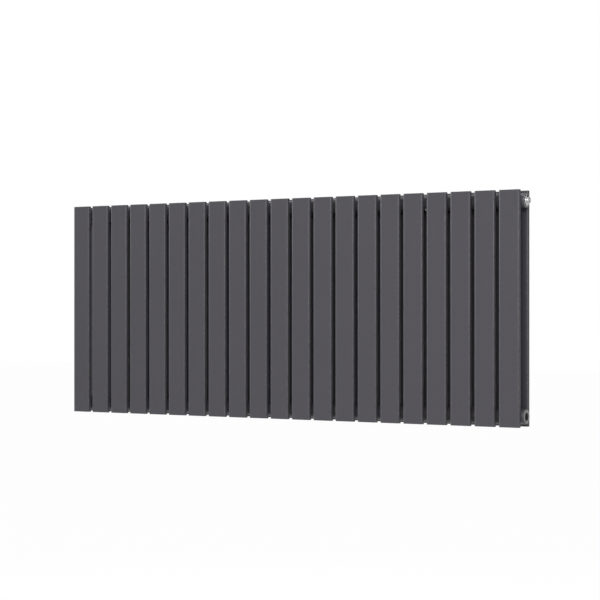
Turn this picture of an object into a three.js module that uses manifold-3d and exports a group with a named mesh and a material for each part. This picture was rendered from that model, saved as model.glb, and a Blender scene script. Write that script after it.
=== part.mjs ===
// Double-row flat-panel radiator with its wall brackets.
// Millimetres, +Z up. The width runs along X, the front row faces -Y and the wall is on the +Y side.
import * as THREE from 'three';
import { mergeVertices } from 'three/addons/utils/BufferGeometryUtils.js';
import Module from 'manifold-3d';

const wasm = await Module();
wasm.setup();

// Panels
const panelCount = 21;
const pitch = 68;
const panelWidth = 55.5;
const panelThickness = 12.5;
const panelHeight = 600;
const panelWall = 1.5;
const endCap = 2;
const panelCorner = 2;

// Headers: two round pipes between the rows, with a waterway into every panel
const rowSpace = 43;
const headerRise = 26.5;
const headerWall = 1.5;
const endPlate = 3;
const waterwayRadius = 5;
const clearance = 0.3;

// Threaded bosses (G 1/2) that end the headers
const overallWidth = panelCount * pitch;
const bossLength = 14.7;
const bossRadius = 19;
const threadRadius = 9.3;
const mouthRadius = 10.7;
const chamfer = 0.8;

// Plugs and their sealing rings; distances along X are from the boss face
const shankRadius = 9;
const shankLength = 12;
const shankTaper = 1;
const flangeRadius = 13.5;
const flangeTop = 3;
const grooveRadius = 12.2;
const grooveDepth = 2.1;
const ringRadius = 11.1;
const ringThickness = 1.5;
const ringSides = 6;
const hexKey = 10;
const hexDepth = 7;

// Air vent: plug with a neck, swivelling nozzle, bleed screw on a conical seat
const neckRadius = 5.6;
const neckTop = 9;
const neckLip = 0.6;
const drainRadius = 0.9;
const keyWellRadius = 4.4;
const keyWellFloor = 4.6;
const seatRadius = 1.5;
const seatTop = -6;
const nozzleRadius = 8.2;
const nozzleTop = 7.6;
const spoutRadius = 1.5;
const spoutBore = 0.7;
const spoutReach = 1.6;
const screwRadius = 2.4;
const screwTipRadius = 0.8;
const squareHead = 5;
const squareLength = 4.3;

// Wall brackets: hooks under the top header and spacers behind the bottom one
const wallDistance = 70;
const bracketGap = 4;
const armThickness = 4;
const plateThickness = 3;
const plateWidth = 40;
const plateHeight = 80;
const plateCorner = 6;
const slotWidth = 8;
const slotLength = 14;
const slotSpacing = 60;
const linerThickness = 1.8;
const linerWidth = 9;
const linerLip = 26.5;
const hookThickness = 6;
const hookMouth = { rear: 5, front: -140 };
const hookGusset = { angle: -80, depth: 12 };
const spacerArm = { low: -2, high: 30, halfAngle: 42 };

// Worked out from the above
const headerRadius = rowSpace / 2 - clearance;
const rowOffset = (rowSpace + panelThickness) / 2;
const headerHeights = { bottom: headerRise, top: panelHeight - headerRise };
const bossFace = overallWidth / 2;
const headerHalf = bossFace - bossLength - clearance;
const linerInner = headerRadius + clearance;
const linerOuter = linerInner + linerThickness;
const cradleRadius = linerOuter + clearance;
const cradleOuter = cradleRadius + hookThickness;
const bracketX = overallWidth / 2 - bracketGap * pitch;
const hookPlateZ = -19;
const spacerPlateZ = 18;
const bracketRoot = wallDistance - plateThickness / 2;
const ventBore = screwRadius + clearance;

const degrees = Math.PI / 180;

// Sides of the round shapes
const turnedSides = 24;
const waterwaySides = 6;
const drainSides = 8;
const spoutSides = 12;
const cornerSteps = 3;
const arcSteps = 10;

// Turns a closed three.js geometry into a solid that can be cut and joined.
function toSolid(geometry) {
  const bare = geometry.clone();
  bare.deleteAttribute('normal');
  bare.deleteAttribute('uv');
  const merged = mergeVertices(bare, 1e-4);
  const corners = merged.index.array;
  const triVerts = [];
  for (let i = 0; i < corners.length; i += 3) {
    const [a, b, c] = [corners[i], corners[i + 1], corners[i + 2]];
    if (a !== b && b !== c && c !== a) triVerts.push(a, b, c);
  }
  return new wasm.Manifold(new wasm.Mesh({
    numProp: 3,
    vertProperties: new Float32Array(merged.attributes.position.array),
    triVerts: new Uint32Array(triVerts),
  }));
}

function toGeometry(solid) {
  const mesh = solid.getMesh();
  const geometry = new THREE.BufferGeometry();
  geometry.setAttribute('position', new THREE.BufferAttribute(new Float32Array(mesh.vertProperties), 3));
  geometry.setIndex(new THREE.BufferAttribute(new Uint32Array(mesh.triVerts), 1));
  geometry.computeVertexNormals();
  return geometry;
}

function box(width, depth, height, x = 0, y = 0, z = 0) {
  return toSolid(new THREE.BoxGeometry(width, depth, height).translate(x, y, z));
}

// A solid turned about the X axis from [radius, x] points that close on themselves.
function turned(points, segments) {
  const outline = [...points, points[0]].map(([radius, x]) => new THREE.Vector2(radius, x));
  return toSolid(new THREE.LatheGeometry(outline, segments).rotateZ(-Math.PI / 2));
}

// A round bar from x = 0 to x = length.
function bar(radius, length, segments) {
  return turned([[0, 0], [radius, 0], [radius, length], [0, length]], segments);
}

function roundedRectangle(width, height, radius) {
  const [w, h] = [width / 2, height / 2];
  const outline = new THREE.Shape();
  outline.moveTo(w, radius - h);
  outline.lineTo(w, h - radius);
  outline.absarc(w - radius, h - radius, radius, 0, 90 * degrees);
  outline.absarc(radius - w, h - radius, radius, 90 * degrees, 180 * degrees);
  outline.absarc(radius - w, radius - h, radius, 180 * degrees, 270 * degrees);
  outline.absarc(w - radius, radius - h, radius, 270 * degrees, 360 * degrees);
  return outline;
}

// A flat outline pushed to a thickness along Z, centred on z = 0.
function pushed(outline, thickness, curveSegments) {
  const options = { depth: thickness, bevelEnabled: false, curveSegments };
  const geometry = new THREE.ExtrudeGeometry(outline, options);
  return toSolid(geometry.translate(0, 0, -thickness / 2));
}

// A flat outline drawn in Y and Z, pushed to a thickness along X and centred on x = 0.
function pushedAcross(outline, thickness, curveSegments) {
  return pushed(outline, thickness, curveSegments).rotate([90, 0, 90]);
}

// One hollow flat tube, closed at both ends, with waterways on its +Y side.
function panel() {
  const outside = pushed(roundedRectangle(panelWidth, panelThickness, panelCorner), panelHeight, 2);
  const hollow = box(panelWidth - 2 * panelWall, panelThickness - 2 * panelWall, panelHeight - 2 * endCap);
  const waterway = bar(waterwayRadius, panelThickness, waterwaySides).rotate([0, 0, 90]);
  const reach = panelHeight / 2 - headerRise;
  return outside
    .subtract(hollow)
    .subtract(waterway.translate([0, 0, reach]))
    .subtract(waterway.translate([0, 0, -reach]));
}

function panelX(index) {
  return (index - (panelCount - 1) / 2) * pitch;
}

// A header pipe along X, pierced on both sides behind each pair of panels. A plate with a hole for
// the boss's bore closes each end.
function header() {
  const inner = headerRadius - headerWall;
  let pipe = turned([
    [threadRadius, -headerHalf], [headerRadius, -headerHalf],
    [headerRadius, headerHalf], [threadRadius, headerHalf],
    [threadRadius, headerHalf - endPlate], [inner, headerHalf - endPlate],
    [inner, endPlate - headerHalf], [threadRadius, endPlate - headerHalf],
  ], turnedSides);
  const drill = bar(waterwayRadius, rowSpace, waterwaySides).rotate([0, 0, 90]);
  for (let index = 0; index < panelCount; index += 1) {
    pipe = pipe.subtract(drill.translate([panelX(index), -rowSpace / 2, 0]));
  }
  return pipe;
}

// A boss with its outer face on x = 0 and its threaded bore running back into the header.
function boss() {
  const sink = mouthRadius - threadRadius;
  return turned([
    [threadRadius, -bossLength], [bossRadius, -bossLength],
    [bossRadius, -chamfer], [bossRadius - chamfer, 0],
    [mouthRadius, 0], [threadRadius, -sink],
  ], turnedSides);
}

// Outside of a plug, from the tip of its shank to the rim of its flange.
function plugOutline() {
  return [
    [shankRadius - shankTaper, -shankLength], [shankRadius, shankTaper - shankLength],
    [shankRadius, grooveDepth], [grooveRadius, grooveDepth],
    [grooveRadius, clearance], [flangeRadius, clearance],
    [flangeRadius, flangeTop - chamfer], [flangeRadius - chamfer, flangeTop],
  ];
}

// Blanking plug with a hexagon socket.
function blankingPlug() {
  const plug = turned([[0, -shankLength], ...plugOutline(), [0, flangeTop]], turnedSides);
  const socket = bar(hexKey / 2 / Math.cos(30 * degrees), hexDepth + 1, 6);
  return plug.subtract(socket.translate([flangeTop - hexDepth, 0, 0]));
}

// Sealing ring that lies in the groove under a flange.
function sealingRing() {
  const half = ringThickness / 2;
  const points = [];
  for (let side = 0; side < ringSides; side += 1) {
    const angle = (side * 360 / ringSides) * degrees;
    points.push([ringRadius + half * Math.cos(angle), clearance + half + half * Math.sin(angle)]);
  }
  return turned(points, turnedSides);
}

// Air vent plug: a drilled shank and flange, and a short neck that the nozzle swivels on.
function ventPlug() {
  const drilled = turned([
    [seatRadius, -shankLength], ...plugOutline(),
    [neckRadius, flangeTop], [neckRadius, neckTop - 2 * neckLip],
    [neckRadius + neckLip, neckTop - neckLip], [neckRadius + neckLip, neckTop],
    [keyWellRadius, neckTop], [keyWellRadius, keyWellFloor],
    [ventBore, keyWellFloor], [ventBore, seatTop], [seatRadius, seatTop - seatRadius],
  ], turnedSides);
  const drain = bar(drainRadius, 2 * neckRadius, drainSides).rotate([0, 90, 0]);
  return drilled.subtract(drain.translate([(flangeTop + nozzleTop) / 2, 0, 0]));
}

// Swivelling drain nozzle with a small spout pointing down.
function ventNozzle() {
  const [low, high] = [flangeTop + clearance, nozzleTop];
  const inner = neckRadius + clearance;
  const collar = turned([
    [inner, low], [nozzleRadius, low],
    [nozzleRadius, high - chamfer], [nozzleRadius - chamfer, high], [inner, high],
  ], turnedSides);
  const middle = (low + high) / 2;
  const start = inner + 0.7;
  const spout = bar(spoutRadius, nozzleRadius + spoutReach - start, spoutSides).rotate([0, 90, 0]);
  const drain = bar(spoutBore, 2 * nozzleRadius, drainSides).rotate([0, 90, 0]);
  return collar.add(spout.translate([middle, 0, -start])).subtract(drain.translate([middle, 0, 0]));
}

// Bleed screw: conical tip, plain shank and a square head for the key.
function ventScrew() {
  const shoulder = keyWellFloor + clearance;
  const shank = turned([
    [0, seatTop - 1], [screwTipRadius, seatTop - 1], [screwRadius, seatTop + screwTipRadius],
    [screwRadius, shoulder + 1], [0, shoulder + 1],
  ], turnedSides / 2);
  return shank.add(box(squareLength, squareHead, squareHead, shoulder + squareLength / 2));
}

// Wall plate with two upright slots, its wall side on y = wallDistance.
function wallPlate(centreZ) {
  const outline = roundedRectangle(plateWidth, plateHeight, plateCorner);
  const opening = roundedRectangle(slotWidth, slotLength, slotWidth / 2 - 0.01);
  const slot = pushed(opening, 3 * plateThickness, cornerSteps);
  return pushed(outline, plateThickness, cornerSteps)
    .subtract(slot.translate([0, slotSpacing / 2, 0]))
    .subtract(slot.translate([0, -slotSpacing / 2, 0]))
    .rotate([90, 0, 0])
    .translate([0, bracketRoot, centreZ]);
}

// J-shaped hook, open upwards, that the top header drops into.
function hook() {
  const [rear, front] = [hookMouth.rear * degrees, hookMouth.front * degrees];
  const arm = new THREE.Shape();
  arm.moveTo(bracketRoot, cradleRadius * Math.sin(rear));
  arm.absarc(0, 0, cradleRadius, rear, front, true);
  arm.absarc(0, 0, cradleOuter, front, hookGusset.angle * degrees);
  arm.lineTo(bracketRoot, -cradleOuter - hookGusset.depth);
  arm.closePath();
  return pushedAcross(arm, armThickness, arcSteps).add(wallPlate(hookPlateZ));
}

// Spacer whose hollowed end bears on the back of the bottom header.
function spacer() {
  const half = spacerArm.halfAngle * degrees;
  const arm = new THREE.Shape();
  arm.moveTo(bracketRoot, spacerArm.low);
  arm.lineTo(bracketRoot, spacerArm.high);
  arm.absarc(0, 0, linerInner, half, -half, true);
  arm.closePath();
  return pushedAcross(arm, armThickness, arcSteps).add(wallPlate(spacerPlateZ));
}

// An arc-shaped strip around the X axis, following the hook between two radii.
function arcStrip(inner, outer, width, overrun) {
  const rear = (hookMouth.rear + overrun) * degrees;
  const front = (hookMouth.front - overrun) * degrees;
  const strip = new THREE.Shape();
  strip.absarc(0, 0, inner, rear, front, true);
  strip.absarc(0, 0, outer, front, rear);
  strip.closePath();
  return pushedAcross(strip, width, arcSteps);
}

// Nylon saddle that lines the hook and grips it between two lips.
function hookLiner() {
  const saddle = arcStrip(linerInner, linerLip, linerWidth, 0);
  return saddle.subtract(arcStrip(linerOuter, linerLip + 1, armThickness + 2 * clearance, 10));
}

const materials = {
  paint: { color: 0x59585b, roughness: 0.5, metalness: 0 },
  zinc: { color: 0xb4b4b2, roughness: 0.35, metalness: 1 },
  chrome: { color: 0xe6e6e8, roughness: 0.1, metalness: 1 },
  bracket: { color: 0x3c3d40, roughness: 0.55, metalness: 0 },
  nylon: { color: 0xd9d8d2, roughness: 0.6, metalness: 0 },
  rubber: { color: 0x1a1a1a, roughness: 0.8, metalness: 0 },
};

const radiator = new THREE.Group();
radiator.name = 'radiator';

function place(name, geometry, look, x, y, z, turn = 0) {
  const mesh = new THREE.Mesh(geometry, new THREE.MeshStandardMaterial(materials[look]));
  mesh.name = name;
  mesh.position.set(x, y, z);
  mesh.rotation.z = turn;
  radiator.add(mesh);
}

function addPanels() {
  const shape = toGeometry(panel());
  for (let index = 0; index < panelCount; index += 1) {
    const number = String(index + 1).padStart(2, '0');
    place(`front_panel_${number}`, shape, 'paint', panelX(index), -rowOffset, panelHeight / 2);
    place(`rear_panel_${number}`, shape, 'paint', panelX(index), rowOffset, panelHeight / 2, Math.PI);
  }
}

function addHeaders() {
  const pipe = toGeometry(header());
  const end = toGeometry(boss());
  for (const [level, height] of Object.entries(headerHeights)) {
    place(`${level}_header`, pipe, 'paint', 0, 0, height);
    place(`boss_${level}_left`, end, 'zinc', -bossFace, 0, height, Math.PI);
    place(`boss_${level}_right`, end, 'zinc', bossFace, 0, height);
  }
}

function addPlugs() {
  const height = headerHeights.top;
  const ring = toGeometry(sealingRing());
  place('vent_plug', toGeometry(ventPlug()), 'chrome', bossFace, 0, height);
  place('vent_nozzle', toGeometry(ventNozzle()), 'chrome', bossFace, 0, height);
  place('vent_screw', toGeometry(ventScrew()), 'chrome', bossFace, 0, height);
  place('vent_o_ring', ring, 'rubber', bossFace, 0, height);
  place('blanking_plug', toGeometry(blankingPlug()), 'chrome', -bossFace, 0, height, Math.PI);
  place('blanking_o_ring', ring, 'rubber', -bossFace, 0, height, Math.PI);
}

function addBrackets() {
  const [hookShape, spacerShape, linerShape] = [hook(), spacer(), hookLiner()].map(toGeometry);
  for (const [side, x] of [['left', -bracketX], ['right', bracketX]]) {
    place(`hook_${side}`, hookShape, 'bracket', x, 0, headerHeights.top);
    place(`liner_${side}`, linerShape, 'nylon', x, 0, headerHeights.top);
    place(`spacer_${side}`, spacerShape, 'bracket', x, 0, headerHeights.bottom);
  }
}

addPanels();
addHeaders();
addPlugs();
addBrackets();

// The origin lies on the wall, at the middle of the left hook's plate.
radiator.position.set(bracketX, -wallDistance, -(headerHeights.top + hookPlateZ));
radiator.updateMatrixWorld(true);

export default radiator;
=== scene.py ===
import math

import bmesh
import bpy
from mathutils import Matrix, Vector


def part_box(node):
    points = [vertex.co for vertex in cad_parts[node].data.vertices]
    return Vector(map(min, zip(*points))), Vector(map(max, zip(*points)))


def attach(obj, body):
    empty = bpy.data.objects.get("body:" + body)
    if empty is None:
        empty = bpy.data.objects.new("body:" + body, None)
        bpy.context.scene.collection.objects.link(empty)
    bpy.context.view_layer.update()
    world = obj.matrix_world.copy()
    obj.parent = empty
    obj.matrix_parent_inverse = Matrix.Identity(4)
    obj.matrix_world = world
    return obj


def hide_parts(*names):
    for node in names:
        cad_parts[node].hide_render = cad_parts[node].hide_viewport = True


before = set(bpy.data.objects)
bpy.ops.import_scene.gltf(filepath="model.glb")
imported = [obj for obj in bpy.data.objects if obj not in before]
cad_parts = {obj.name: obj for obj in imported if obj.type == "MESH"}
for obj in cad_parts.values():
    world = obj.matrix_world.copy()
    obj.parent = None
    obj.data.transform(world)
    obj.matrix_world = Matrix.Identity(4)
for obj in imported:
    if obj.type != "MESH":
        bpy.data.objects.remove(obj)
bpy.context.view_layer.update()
mm = 0.001
shown = bpy.context.scene.collection
panelNumbers = [f"{number:02d}" for number in range(1, 22)]
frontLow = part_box("front_panel_01")[0]
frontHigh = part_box("front_panel_21")[1]
bpy.context.scene.view_settings.view_transform = "Standard"
print("frame loaded with", len(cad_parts), "nodes")

# camera and light

cameraSettings = {
    "turn": 30.9,  # degrees round from square on, towards the vent end
    "alongWidth": 2.4395,  # from the middle of the row
    "inFront": 3.958,  # from the front faces
    "belowMiddle": 0.010,
    "lens": 102.42,
    "shift": (-0.0021, 0.0209),
}


def setCamera(settings):
    middle = (frontLow + frontHigh) / 2
    camera = bpy.data.objects.new("camera", bpy.data.cameras.new("camera"))
    camera.location = (
        middle.x + settings["alongWidth"],
        frontLow.y - settings["inFront"],
        middle.z - settings["belowMiddle"],
    )
    camera.rotation_euler = (math.radians(90), 0, math.radians(settings["turn"]))
    camera.data.lens = settings["lens"]
    camera.data.shift_x, camera.data.shift_y = settings["shift"]
    camera.data.clip_end = 100
    shown.objects.link(camera)
    bpy.context.scene.camera = camera


sunSettings = {"from": (-0.8, -0.36, 0.48), "spread": 34, "power": 2.4}
lampSettings = {
    "key": {"place": (1.9, -3.5, 1.2), "size": (2.0, 2.0), "power": 84},
    "side": {"place": (2.2, 1.5, 0.6), "size": (0.5, 1.8), "power": 8},
    "top": {"place": (0.2, 0.4, 2.4), "size": (2.6, 0.8), "power": 26},
    "back": {"place": (-1.8, 2.8, 1.2), "size": (1.8, 1.8), "power": 26},
}


def hang(light, place):
    # a lamp at that place, turned to the middle of the radiator
    middle = (frontLow + frontHigh) / 2
    holder = bpy.data.objects.new(light.name, light)
    holder.location = middle + Vector(place)
    holder.rotation_euler = Vector(place).to_track_quat("Z", "Y").to_euler()
    shown.objects.link(holder)


def setLamps(wide, lamps):
    sun = bpy.data.lights.new("wide", "SUN")
    sun.energy = wide["power"]
    sun.angle = math.radians(wide["spread"])
    hang(sun, wide["from"])
    for name, lamp in lamps.items():
        light = bpy.data.lights.new(name, "AREA")
        light.shape = "RECTANGLE"
        light.size, light.size_y = lamp["size"]
        light.energy = lamp["power"]
        hang(light, lamp["place"])


# shader expressions


class Wire:
    # one output socket that can be used in sums

    def __init__(self, finish, socket):
        self.finish = finish
        self.socket = socket

    def join(self, operation, first, second=None):
        return self.finish.node("Math", {"operation": operation}, {0: first, 1: second})

    def __add__(self, other):
        return self.join("ADD", self, other)

    def __radd__(self, other):
        return self.join("ADD", other, self)

    def __sub__(self, other):
        return self.join("SUBTRACT", self, other)

    def __rsub__(self, other):
        return self.join("SUBTRACT", other, self)

    def __mul__(self, other):
        return self.join("MULTIPLY", self, other)

    def __rmul__(self, other):
        return self.join("MULTIPLY", other, self)

    def __pow__(self, other):
        return self.join("POWER", self, other)

    def clamped(self):
        return self.finish.node("Clamp", {}, {0: self})


class Finish:
    # one material: its tree, its Principled shader and the object's own coordinates

    def __init__(self, name):
        self.material = bpy.data.materials.new(name)
        self.material.use_nodes = True
        self.tree = self.material.node_tree
        self.shader = self.tree.nodes["Principled BSDF"]
        self.place = self.node("TexCoord", output="Object")

    def node(self, kind, settings=None, sockets=None, output=0):
        made = self.tree.nodes.new("ShaderNode" + kind)
        for key, value in (settings or {}).items():
            if key == "stops":
                self.setStops(made.color_ramp, value)
            else:
                setattr(made, key, value)
        for key, value in (sockets or {}).items():
            self.feed(made.inputs[key], value)
        return Wire(self, made.outputs[output])

    def setStops(self, ramp, stops):
        for index, (position, shade) in enumerate(stops):
            stop = ramp.elements[index] if index < 2 else ramp.elements.new(position)
            stop.position = position
            stop.color = (shade, shade, shade, 1)

    def feed(self, socket, value):
        if value is None:
            return
        if isinstance(value, Wire):
            self.tree.links.new(value.socket, socket)
        elif isinstance(value, tuple) and len(value) == 3 and socket.type == "RGBA":
            socket.default_value = (*value, 1)
        else:
            socket.default_value = value

    def noise(self, perMetre, detail=3.0, roughness=0.5):
        sockets = {"Vector": self.place, "Scale": perMetre, "Detail": detail, "Roughness": roughness}
        return self.node("TexNoise", {}, sockets)

    def ramp(self, value, *stops):
        return self.node("ValToRGB", {"stops": stops}, {"Fac": value})

    def blend(self, factor, first, second):
        return self.node("Mix", {"data_type": "RGBA"}, {0: factor, 6: first, 7: second}, 2)

    def mark(self, name):
        return self.node("Attribute", {"attribute_name": name}, output="Fac")

    def bump(self, height, distance, strength=1.0, below=None):
        sockets = {"Strength": strength, "Distance": distance, "Height": height, "Normal": below}
        return self.node("Bump", {}, sockets)

    def set(self, **values):
        for key, value in values.items():
            self.feed(self.shader.inputs[key.replace("_", " ")], value)


# finishes

coatColours = {
    "body": (0.072, 0.069, 0.08),
    "light": (0.082, 0.079, 0.091),
    "edge": (0.15, 0.147, 0.158),
}


# painted shade: the pipes and welds between the rows take a darker copy of the panels' coat, standing in for the shade
# there
headerShadedColours = {
    "body": (0.036, 0.034, 0.04),
    "light": (0.043, 0.041, 0.047),
    "edge": (0.07, 0.068, 0.075),
}


def powderCoat(name, colours, grain=1.0):
    finish = Finish(name)
    drift = finish.noise(5.0, 2.0)
    cloud = finish.noise(60.0, 3.0)
    peel = finish.noise(620.0, 2.0, 0.4)
    fine = finish.noise(2600.0, 1.0)
    rim = finish.mark("rim") * finish.ramp(finish.noise(180.0, 4.0), (0.35, 0.25), (0.7, 1.0))
    colour = finish.blend((drift * 0.6 + cloud * 0.4 - 0.2).clamped(), colours["body"], colours["light"])
    finish.set(
        Base_Color=finish.blend(rim * 0.8, colour, colours["edge"]),
        Roughness=0.34 + cloud * 0.1 + rim * 0.05,
        Normal=finish.bump(fine, 0.00003, 0.35 * grain, finish.bump(peel, 0.00012, 0.3 * grain)),
        Specular_IOR_Level=0.18,
    )
    return finish.material


chromeTones = {"clean": (0.66, 0.66, 0.67), "dulled": (0.45, 0.45, 0.46)}


def chromePlate(name, tones):
    finish = Finish(name)
    smear = finish.noise(240.0, 4.0, 0.6)
    speck = finish.ramp(finish.noise(1500.0, 2.0), (0.58, 0.0), (0.72, 1.0))
    rim = finish.mark("rim")
    finish.set(
        Base_Color=finish.blend((speck * 0.35 + rim * 0.2).clamped(), tones["clean"], tones["dulled"]),
        Metallic=1.0,
        Roughness=0.06 + smear * 0.1 + speck * 0.1,
        Normal=finish.bump(smear, 0.00004, 0.25),
    )
    return finish.material


bossTones = {
    "face": (0.28, 0.28, 0.277),
    "dark": (0.13, 0.13, 0.128),
    "edge": (0.42, 0.42, 0.42),
    # painted shade: the threaded bore's near-black colour stands in for the shade deep in the hole
    "boreShade": (0.03, 0.03, 0.03),
    "ringPitch": 0.00035,
}


def bareFacedSteel(name, tones, coat, axis):
    # coated outside, with the end face and the bore left as turned
    finish = Finish(name)
    bare = finish.mark("bare")
    boreShade = finish.mark("boreShade")
    sockets = {"Vector": finish.place, "Location": (0, -axis.y, -axis.z), "Scale": (0, 1, 1)}
    across = finish.node("Mapping", {}, sockets)
    radius = finish.node("VectorMath", {"operation": "LENGTH"}, {0: across}, "Value")
    rings = finish.node("Math", {"operation": "SINE"}, {0: radius * (2 * math.pi / tones["ringPitch"])})
    stain = finish.ramp(finish.noise(420.0, 5.0, 0.65), (0.42, 0.0), (0.75, 1.0))
    rim = finish.mark("rim")
    steel = finish.blend(rim * 0.4, finish.blend(stain * 0.7, tones["face"], tones["dark"]), tones["edge"])
    # painted shade: the bore is darkened to near black
    steel = finish.blend(boreShade, steel, tones["boreShade"])
    paint = finish.blend(rim * 0.3, finish.blend(finish.noise(60.0), coat["body"], coat["light"]), coat["edge"])
    peel = finish.bump(finish.noise(620.0, 2.0, 0.4), 0.00012, 0.3)
    finish.set(
        Base_Color=finish.blend(bare, paint, steel),
        Metallic=bare * (0.8 - stain * 0.25) * (1 - boreShade * 0.8),
        Roughness=0.38 + bare * stain * 0.2 + boreShade * 0.2,
        Normal=finish.bump(rings * bare, 0.00004, 0.4, peel),
        Specular_IOR_Level=0.3,
    )
    return finish.material


nylonTones = {"body": (0.66, 0.65, 0.6), "shade": (0.56, 0.55, 0.5)}


def mouldedNylon(name, tones):
    finish = Finish(name)
    cloud = finish.noise(150.0, 3.0)
    grain = finish.noise(1800.0, 2.0)
    rim = finish.mark("rim")
    finish.set(
        Base_Color=finish.blend((cloud * 0.8 + rim * 0.2).clamped(), tones["shade"], tones["body"]),
        Roughness=0.48 + cloud * 0.15,
        Normal=finish.bump(grain, 0.00004, 0.4),
    )
    return finish.material


rubberTones = {"body": (0.018, 0.018, 0.019), "bloom": (0.045, 0.045, 0.046)}


def sealRubber(name, tones):
    finish = Finish(name)
    bloom = finish.ramp(finish.noise(700.0, 4.0), (0.45, 0.0), (0.8, 1.0))
    finish.set(
        Base_Color=finish.blend(bloom * 0.6, tones["body"], tones["bloom"]),
        Roughness=0.62 + bloom * 0.2,
        Normal=finish.bump(finish.noise(2400.0, 2.0), 0.00003, 0.5),
    )
    return finish.material


# mesh helpers


def finishPiece(name, mesh, material, node=None, body="radiator"):
    piece = bpy.data.objects.new(name, mesh)
    shown.objects.link(piece)
    mesh.materials.append(material)
    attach(piece, body)
    if node:
        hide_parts(node)
    return piece


def meshFrom(bm, name):
    mesh = bpy.data.meshes.new(name)
    bm.to_mesh(mesh)
    bm.free()
    mesh.set_sharp_from_angle(angle=math.radians(32))
    return mesh


def sharpEdges(bm, degrees):
    return [e for e in bm.edges if e.is_manifold and e.calc_face_angle(0) > math.radians(degrees)]


def roundEdges(bm, edges, width, steps):
    # rounds the edges and marks the new corners for the wear along them
    rim = bm.verts.layers.float.get("rim") or bm.verts.layers.float.new("rim")
    made = bmesh.ops.bevel(
        bm, geom=edges, offset=width, offset_type="OFFSET", segments=steps, profile=0.5,
        affect="EDGES", clamp_overlap=True, material=-1,
    )
    for vert in made["verts"]:
        vert[rim] = 1.0
    return made


def holdFaces(bm, faces, width):
    # a narrow border keeps each broad face flat and its edge wear narrow
    rim = bm.verts.layers.float.get("rim")
    made = bmesh.ops.inset_individual(bm, faces=faces, thickness=width, depth=0)
    for face in faces:
        for vert in face.verts:
            vert[rim] = 0.0
    return made


# panels

panelShape = {"corner": 3.0 * mm, "cornerSteps": 6, "endEdge": 0.5 * mm, "capSeam": 1.3 * mm, "border": 1.1 * mm}


def panelMesh(shape):
    low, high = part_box("front_panel_01")
    size = high - low
    bm = bmesh.new()
    bmesh.ops.create_cube(bm, size=1)
    bmesh.ops.scale(bm, vec=size, verts=bm.verts)
    upright = [e for e in bm.edges if abs(e.verts[0].co.z - e.verts[1].co.z) > size.z / 2]
    roundEdges(bm, upright, shape["corner"], shape["cornerSteps"])
    ends = [f for f in bm.faces if abs(f.normal.z) > 0.9]
    rims = list({e for f in ends for e in f.edges})
    roundEdges(bm, rims, shape["endEdge"], 2)
    ends = [f for f in bm.faces if abs(f.normal.z) > 0.99]
    bmesh.ops.inset_region(bm, faces=ends, thickness=shape["capSeam"], depth=0, use_even_offset=True)
    bmesh.ops.inset_region(bm, faces=ends, thickness=0.35 * mm, depth=-0.25 * mm, use_even_offset=True)
    bmesh.ops.inset_region(bm, faces=ends, thickness=0.35 * mm, depth=0.2 * mm, use_even_offset=True)
    rim = bm.verts.layers.float.get("rim")
    for vert in bm.verts:
        vert[rim] = 1.0 if abs(vert.co.z) < size.z / 2 - 0.1 * mm else 0.6
    broad = [f for f in bm.faces if f.calc_area() > size.z * size.y * 0.5]
    holdFaces(bm, broad, shape["border"])
    for face in bm.faces:
        face.smooth = abs(face.normal.z) < 0.99
    return meshFrom(bm, "panel")


def makePanels(material):
    pattern = panelMesh(panelShape)
    for row in ("front", "rear"):
        for number in panelNumbers:
            node = f"{row}_panel_{number}"
            low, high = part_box(node)
            mesh = pattern.copy()
            mesh.transform(Matrix.Translation((low + high) / 2))
            finishPiece(f"{row}PanelShell{number}", mesh, material, node)
    bpy.data.meshes.remove(pattern)
    print("panels made")


# headers and their welds

headerShape = {"steps": 64, "wall": 1.5, "grow": 0.0, "bore": 9.3, "endPlate": 3.0}
weldShape = {"length": 46 * mm, "bead": 1.5 * mm, "spacing": 2.6 * mm, "drop": 6.4 * mm}


def beadRun(shape):
    # overlapping drops in a row, as a weld run is, centred on the origin along X
    bm = bmesh.new()
    count = int(shape["length"] / shape["spacing"])
    for index in range(count):
        drop = bmesh.ops.create_uvsphere(bm, u_segments=8, v_segments=5, radius=shape["bead"])
        wobble = 1 + 0.12 * math.sin(index * 2.3)
        bmesh.ops.scale(bm, vec=(1.25, wobble, wobble), verts=drop["verts"])
        along = (index + 0.5) * shape["spacing"] - shape["length"] / 2
        bmesh.ops.translate(bm, vec=(along, 0, 0), verts=drop["verts"])
    return meshFrom(bm, "beadRun")


def headerMesh(low, high, shape):
    # a pipe with a pierced plate at each end
    half = (high.x - low.x) / 2 / mm
    radius = (high.z - low.z) / 2 / mm + shape["grow"]
    bore, inner, plate = shape["bore"], radius - shape["wall"], half - shape["endPlate"]
    outside = [(bore, -half), (radius - 0.6, -half), (radius, 0.6 - half)]
    outside += [(radius, half - 0.6), (radius - 0.6, half), (bore, half)]
    bm = turnedMesh("header", outside + [(bore, plate), (inner, plate), (inner, -plate), (bore, -plate)], shape["steps"], 0)
    bm.transform(Matrix.Translation((low + high) / 2))
    return meshFrom(bm, "header")


def weldMesh(level, shape):
    low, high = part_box(f"{level}_header")
    axis = (low + high) / 2
    radius = (high.z - low.z) / 2
    inward = math.sqrt(radius**2 - shape["drop"] ** 2) + 0.3 * mm
    run = beadRun(shape)
    bm = bmesh.new()
    for number in panelNumbers:
        panelLow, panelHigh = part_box(f"front_panel_{number}")
        middle = (panelLow.x + panelHigh.x) / 2
        for side in (-1, 1):
            for rise in (-1, 1):
                place = Vector((middle, axis.y + side * inward, axis.z + rise * shape["drop"]))
                laid = run.copy()
                laid.transform(Matrix.Translation(place))
                bm.from_mesh(laid)
                bpy.data.meshes.remove(laid)
    for face in bm.faces:
        face.smooth = True
    return meshFrom(bm, f"{level}Welds")


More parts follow.
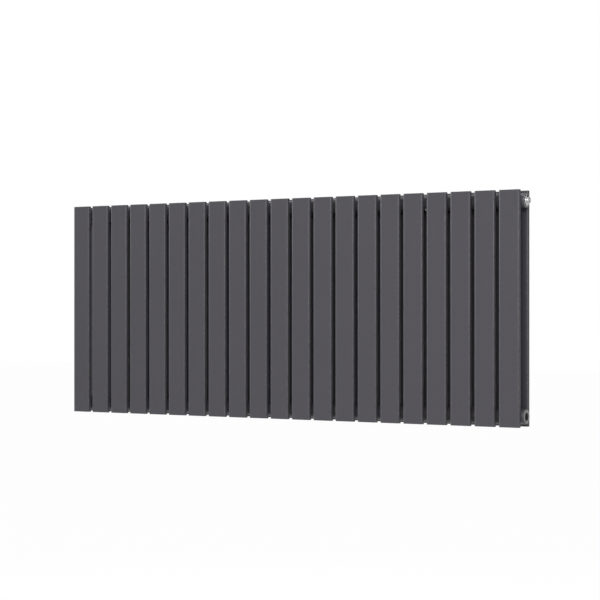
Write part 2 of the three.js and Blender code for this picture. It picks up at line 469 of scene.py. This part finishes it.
def makeHeaders(material):
    for level in ("top", "bottom"):
        low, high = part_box(f"{level}_header")
        finishPiece(f"{level}HeaderPipe", headerMesh(low, high, headerShape), material, f"{level}_header")
        finishPiece(f"{level}HeaderWelds", weldMesh(level, weldShape), material)
    print("headers made")


# turned pieces: bosses, plugs and the vent


def turnedMesh(name, profile, steps, edge, sharp=28):
    # profile: radius and distance out from the boss face, in millimetres, closed on itself
    bm = bmesh.new()
    verts = [bm.verts.new((out * mm, radius * mm, 0)) for radius, out in profile]
    edges = [bm.edges.new(pair) for pair in zip(verts, verts[1:] + verts[:1])]
    bmesh.ops.spin(
        bm, geom=verts + edges, cent=(0, 0, 0), axis=(1, 0, 0), angle=2 * math.pi, steps=steps,
        use_merge=True, use_duplicate=False,
    )
    bmesh.ops.remove_doubles(bm, verts=bm.verts, dist=0.002 * mm)
    bmesh.ops.dissolve_degenerate(bm, dist=0.001 * mm, edges=bm.edges)
    bmesh.ops.recalc_face_normals(bm, faces=bm.faces)
    bm.verts.layers.float.new("rim")
    if edge:
        roundEdges(bm, sharpEdges(bm, sharp), edge, 2)
    for face in bm.faces:
        face.smooth = abs(face.normal.x) < 0.999
    return bm


def toEnd(bm, level, side):
    # from the boss's own face and axis to its place on the radiator
    low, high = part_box(f"boss_{level}_{side}")
    centre = (low + high) / 2
    turn = Matrix.Identity(4) if side == "right" else Matrix.Rotation(math.pi, 4, "Z")
    face = Vector((high.x if side == "right" else low.x, centre.y, centre.z))
    bm.transform(Matrix.Translation(face) @ turn)
    return bm


bossShape = {"outer": 19.0, "bore": 9.5, "root": 10.4, "mouth": 10.7, "length": 14.7, "threadPitch": 1.814}


def bossProfile(shape):
    outer, mouth, back = shape["outer"], shape["mouth"], -shape["length"]
    points = [(mouth, -0.1), (mouth - 0.2, -0.5)]
    out = -0.8
    while out > back + shape["threadPitch"]:
        points.append((shape["bore"], out))
        points.append((shape["root"], out - shape["threadPitch"] / 2))
        out -= shape["threadPitch"]
    points += [(shape["bore"], back), (outer, back)]
    points += [(outer, -0.8), (outer - 0.25, -0.3), (outer - 0.8, 0), (outer - 1.0, 0), (mouth + 0.3, 0)]
    return points


def markBare(bm, coatedFrom, boreShadeUpTo):
    # metal shows where the coat stops, and the threaded bore is painted near black as shade in the hole
    bare = bm.verts.layers.float.new("bare")
    boreShade = bm.verts.layers.float.new("boreShade")
    for vert in bm.verts:
        radius = math.hypot(vert.co.y, vert.co.z)
        vert[bare] = 1.0 if radius < coatedFrom else 0.0
        vert[boreShade] = 1.0 if radius < boreShadeUpTo and vert.co.x < -0.3 * mm else 0.0
    return bm


def makeBosses():
    for level in ("top", "bottom"):
        low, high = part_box(f"{level}_header")
        steel = bareFacedSteel(f"bossSteel{level.title()}", bossTones, coatColours, (low + high) / 2)
        for side in ("left", "right"):
            bm = turnedMesh("boss", bossProfile(bossShape), 64, 0)
            markBare(bm, (bossShape["outer"] - 0.9) * mm, (bossShape["mouth"] + 0.1) * mm)
            mesh = meshFrom(toEnd(bm, level, side), "boss")
            finishPiece(f"{level}{side.title()}Boss", mesh, steel, f"boss_{level}_{side}")
    print("bosses made")


plugShape = {
    "shank": 9.0, "shankLength": 12.0, "groove": 12.2, "flange": 13.5, "top": 3.0,
    "neck": 5.6, "neckTop": 9.0, "nozzle": 8.2, "nozzleTop": 7.6, "keyWell": 4.4, "wellFloor": 4.6,
    "screw": 2.4, "square": 5.0, "squareTop": 9.2, "hexKey": 10.0, "hexFloor": -4.0,
}


def flangeProfile(s):
    return [
        (s["shank"], -s["shankLength"]), (s["shank"], 2.1), (s["groove"], 2.1), (s["groove"], 0.3),
        (s["flange"], 0.3), (s["flange"], s["top"] - 0.8), (s["flange"] - 0.8, s["top"]),
    ]


def ventPlugBm(s):
    profile = [(2.7, -s["shankLength"])] + flangeProfile(s) + [
        (s["neck"] + 0.6, s["top"]), (s["neck"], s["top"] + 0.3), (s["neck"], s["neckTop"] - 1.2),
        (s["neck"] + 0.6, s["neckTop"] - 0.6), (s["neck"] + 0.3, s["neckTop"]),
        (s["keyWell"], s["neckTop"]), (s["keyWell"], s["wellFloor"]), (2.7, s["wellFloor"]),
    ]
    return turnedMesh("ventPlug", profile, 64, 0.2 * mm)


def nozzleBm(s):
    # swivel collar with its drain spout underneath
    low, high, inner = s["top"] + 0.3, s["nozzleTop"], s["neck"] + 0.3
    profile = [(inner, low), (s["nozzle"] - 0.3, low), (s["nozzle"], low + 0.3)]
    profile += [(s["nozzle"], high - 0.8), (s["nozzle"] - 0.8, high), (inner, high)]
    bm = turnedMesh("nozzle", profile, 72, 0.15 * mm)
    spout = bmesh.ops.create_cone(
        bm, cap_ends=True, segments=20, radius1=1.1 * mm, radius2=1.5 * mm, depth=2.4 * mm
    )
    tip = [f for f in {f for v in spout["verts"] for f in v.link_faces} if f.normal.z < -0.9]
    bmesh.ops.inset_region(bm, faces=tip, thickness=0.35 * mm, depth=0)
    bmesh.ops.inset_region(bm, faces=tip, thickness=0.02 * mm, depth=-1.2 * mm)
    moved = {v for f in tip for v in f.verts} | set(spout["verts"])
    linked = {v for w in moved for e in w.link_edges for v in e.verts} | moved
    place = Vector(((low + high) / 2 * mm, 0, -(s["nozzle"] + 0.4) * mm))
    bmesh.ops.translate(bm, vec=place, verts=list(linked))
    return bm


def screwBm(s):
    # round shank and a chamfered square head for the key
    shoulder = s["wellFloor"] + 0.3
    profile = [(0, -6.8), (0.8, -6.8), (s["screw"], -5.2), (s["screw"], shoulder), (2.5, shoulder), (2.5, shoulder + 1), (0, shoulder + 1)]
    bm = turnedMesh("screw", profile, 32, 0)
    head = bmesh.ops.create_cube(bm, size=1)
    length = s["squareTop"] - shoulder
    bmesh.ops.scale(bm, vec=Vector((length, s["square"], s["square"])) * mm, verts=head["verts"])
    bmesh.ops.translate(bm, vec=((shoulder + length / 2) * mm, 0, 0), verts=head["verts"])
    edges = list({e for v in head["verts"] for e in v.link_edges})
    roundEdges(bm, edges, 0.35 * mm, 3)
    return bm


def blankingPlugBm(s):
    # the flange is turned, then its face is opened to a hexagon socket
    flats = s["hexKey"] / 2 / math.cos(math.radians(30))
    profile = [(flats, -s["shankLength"])] + flangeProfile(s) + [(flats + 1.0, s["top"]), (flats + 0.4, s["top"] - 0.4)]
    bm = turnedMesh("blankingPlug", profile + [(flats + 0.4, s["hexFloor"]), (flats, s["hexFloor"] - 0.2)], 66, 0.2 * mm)
    return bm


def hexSocketBm(s):
    # a ring with a round outside and a hexagon inside, closed by a floor
    flats = s["hexKey"] / 2 / math.cos(math.radians(30))
    top = (s["top"] - 0.35) * mm
    bm = bmesh.new()
    made = bmesh.ops.create_circle(bm, cap_ends=True, segments=66, radius=(flats + 0.42) * mm)
    bmesh.ops.rotate(bm, matrix=Matrix.Rotation(math.pi / 2, 3, "Y"), verts=bm.verts)
    bmesh.ops.translate(bm, vec=(top, 0, 0), verts=bm.verts)
    face = bm.faces[:][0]
    if face.normal.x < 0:
        bmesh.ops.reverse_faces(bm, faces=[face])
    bmesh.ops.inset_region(bm, faces=[face], thickness=0.05 * mm, depth=0)
    inner = list(face.verts)
    bmesh.ops.inset_region(bm, faces=[face], thickness=0.3 * mm, depth=0)
    for vert in face.verts:
        angle = math.atan2(vert.co.z, vert.co.y)
        side = math.radians((math.degrees(angle) % 60) - 30)
        reach = s["hexKey"] / 2 * mm / math.cos(side)
        vert.co.y, vert.co.z = reach * math.cos(angle), reach * math.sin(angle)
    made = bmesh.ops.extrude_face_region(bm, geom=[face])
    moved = [g for g in made["geom"] if isinstance(g, bmesh.types.BMVert)]
    bmesh.ops.translate(bm, vec=(s["hexFloor"] * mm - top, 0, 0), verts=moved)
    bmesh.ops.delete(bm, geom=[face], context="FACES_ONLY")
    bm.verts.layers.float.new("rim")
    return bm


def makePlugs(chrome, rubber):
    level = "top"
    pieces = [
        ("ventPlugBody", ventPlugBm(plugShape), "right", "vent_plug", "radiator"),
        ("ventSwivelNozzle", nozzleBm(plugShape), "right", "vent_nozzle", "nozzle"),
        ("ventBleedScrew", screwBm(plugShape), "right", "vent_screw", "bleed_screw"),
        ("blankingPlugBody", blankingPlugBm(plugShape), "left", "blanking_plug", "radiator"),
        ("blankingPlugSocket", hexSocketBm(plugShape), "left", None, "radiator"),
    ]
    for name, bm, side, node, body in pieces:
        finishPiece(name, meshFrom(toEnd(bm, level, side), name), chrome, node, body)
    for node in ("vent_o_ring", "blanking_o_ring"):
        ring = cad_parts[node]
        ring.data.materials.clear()
        ring.data.materials.append(rubber)
    print("plugs and vent made")


# wall brackets

bracketEdges = {"hook": 0.5 * mm, "spacer": 0.5 * mm, "liner": 0.3 * mm}


def eased(node, width):
    # the CAD shape again, with its facets joined and its edges rounded
    bm = bmesh.new()
    bm.from_mesh(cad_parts[node].data)
    bmesh.ops.remove_doubles(bm, verts=bm.verts, dist=0.01 * mm)
    bmesh.ops.dissolve_limit(bm, angle_limit=math.radians(1), verts=bm.verts, edges=bm.edges)
    roundEdges(bm, sharpEdges(bm, 40), width, 2)
    for face in bm.faces:
        face.smooth = True
    return meshFrom(bm, node + "Eased")


def makeBrackets(coat, nylon):
    for side in ("left", "right"):
        for kind, material, slot in (
            ("hook", coat, "bracket_coat"), ("spacer", coat, "bracket_coat"), ("liner", nylon, "nylon"),
        ):
            node = f"{kind}_{side}"
            mesh = eased(node, bracketEdges[kind])
            finishPiece(f"{kind}{side.title()}Piece", mesh, material, node)
    print("brackets made")


# floor and surroundings

roomSettings = {
    "drop": 0.95,
    "reach": 30.0,
    "daylight": 0.24,  # what the room sends onto the object from the front
    "behind": 0.12,  # and from the wall's side
    "white": 1.0,
    "glow": 1.06,
}


def paleFloor(name, settings):
    finish = Finish(name)
    rays = finish.node("LightPath", output="Is Camera Ray")
    gloss = finish.node("LightPath", output="Is Glossy Ray")
    through = finish.node("LightPath", output="Is Transmission Ray")
    finish.set(Base_Color=(0.5, 0.5, 0.5), Roughness=0.9)
    glow = finish.node("Emission", {}, {"Color": (1.0, 1.0, 1.0), "Strength": settings["glow"]})
    seen = ((rays + gloss + through) * 0.9).clamped()
    mixed = finish.node("MixShader", {}, {0: seen, 1: Wire(finish, finish.shader.outputs[0]), 2: glow})
    out = finish.tree.nodes["Material Output"]
    finish.feed(out.inputs["Surface"], mixed)
    return finish.material


def makeRoom(settings):
    bm = bmesh.new()
    bmesh.ops.create_grid(bm, x_segments=8, y_segments=8, size=settings["reach"])
    height = frontLow.z - settings["drop"]
    bmesh.ops.translate(bm, vec=(frontLow.x, frontLow.y, height), verts=bm.verts)
    floor = bpy.data.objects.new("floor", meshFrom(bm, "floor"))
    floor.data.materials.append(paleFloor("paleFloor", settings))
    shown.objects.link(floor)
    makeWorld(settings)
    print("floor and surroundings made")


def makeWorld(settings):
    # pure white where it is seen; dimmer towards the wall's side for the light it gives
    world = bpy.data.worlds.new("room")
    bpy.context.scene.world = world
    world.use_nodes = True
    tree = world.node_tree

    def node(kind, sockets, settings=None, output=0):
        made = tree.nodes.new("ShaderNode" + kind)
        for key, value in (settings or {}).items():
            setattr(made, key, value)
        for key, value in sockets.items():
            if isinstance(value, bpy.types.NodeSocket):
                tree.links.new(value, made.inputs[key])
            else:
                made.inputs[key].default_value = value
        return made.outputs[output]

    path = tree.nodes.new("ShaderNodeLightPath").outputs
    direction = node("TexCoord", {}, output="Generated")
    along = node("SeparateXYZ", {0: direction}, output="Y")
    front = node("MapRange", {"Value": along, "From Min": 0.3, "From Max": -0.2})
    soft = node("MapRange", {"Value": front, "To Min": settings["behind"], "To Max": settings["daylight"]})
    mirrored = node("Math", {0: path["Is Glossy Ray"], 1: front}, {"operation": "MULTIPLY"})
    seen = node("Math", {0: path["Is Camera Ray"], 1: path["Is Transmission Ray"]}, {"operation": "MAXIMUM"})
    white = node("Math", {0: seen, 1: mirrored}, {"operation": "MAXIMUM"})
    daylight = node("Background", {"Color": (1, 1, 1, 1), "Strength": soft})
    backdrop = node("Background", {"Color": (1, 1, 1, 1), "Strength": settings["white"]})
    mixed = node("MixShader", {0: white, 1: daylight, 2: backdrop})
    tree.links.new(mixed, tree.nodes["World Output"].inputs["Surface"])


setCamera(cameraSettings)
setLamps(sunSettings, lampSettings)
makeRoom(roomSettings)

coat = powderCoat("anthraciteCoat", coatColours)
# painted shade: a darker copy of the coat for the pipes and welds between the rows
headerShadedCoat = powderCoat("headerShadedCoat", headerShadedColours)
bracketCoat = powderCoat("bracketCoat", {"body": (0.034, 0.034, 0.036), "light": (0.042, 0.042, 0.045), "edge": (0.08, 0.08, 0.085)}, 1.4)
chrome = chromePlate("chromePlate", chromeTones)
nylon = mouldedNylon("linerNylon", nylonTones)
rubber = sealRubber("sealRubber", rubberTones)

makePanels(coat)
makeHeaders(headerShadedCoat)
makeBosses()
makePlugs(chrome, rubber)
makeBrackets(bracketCoat, nylon)
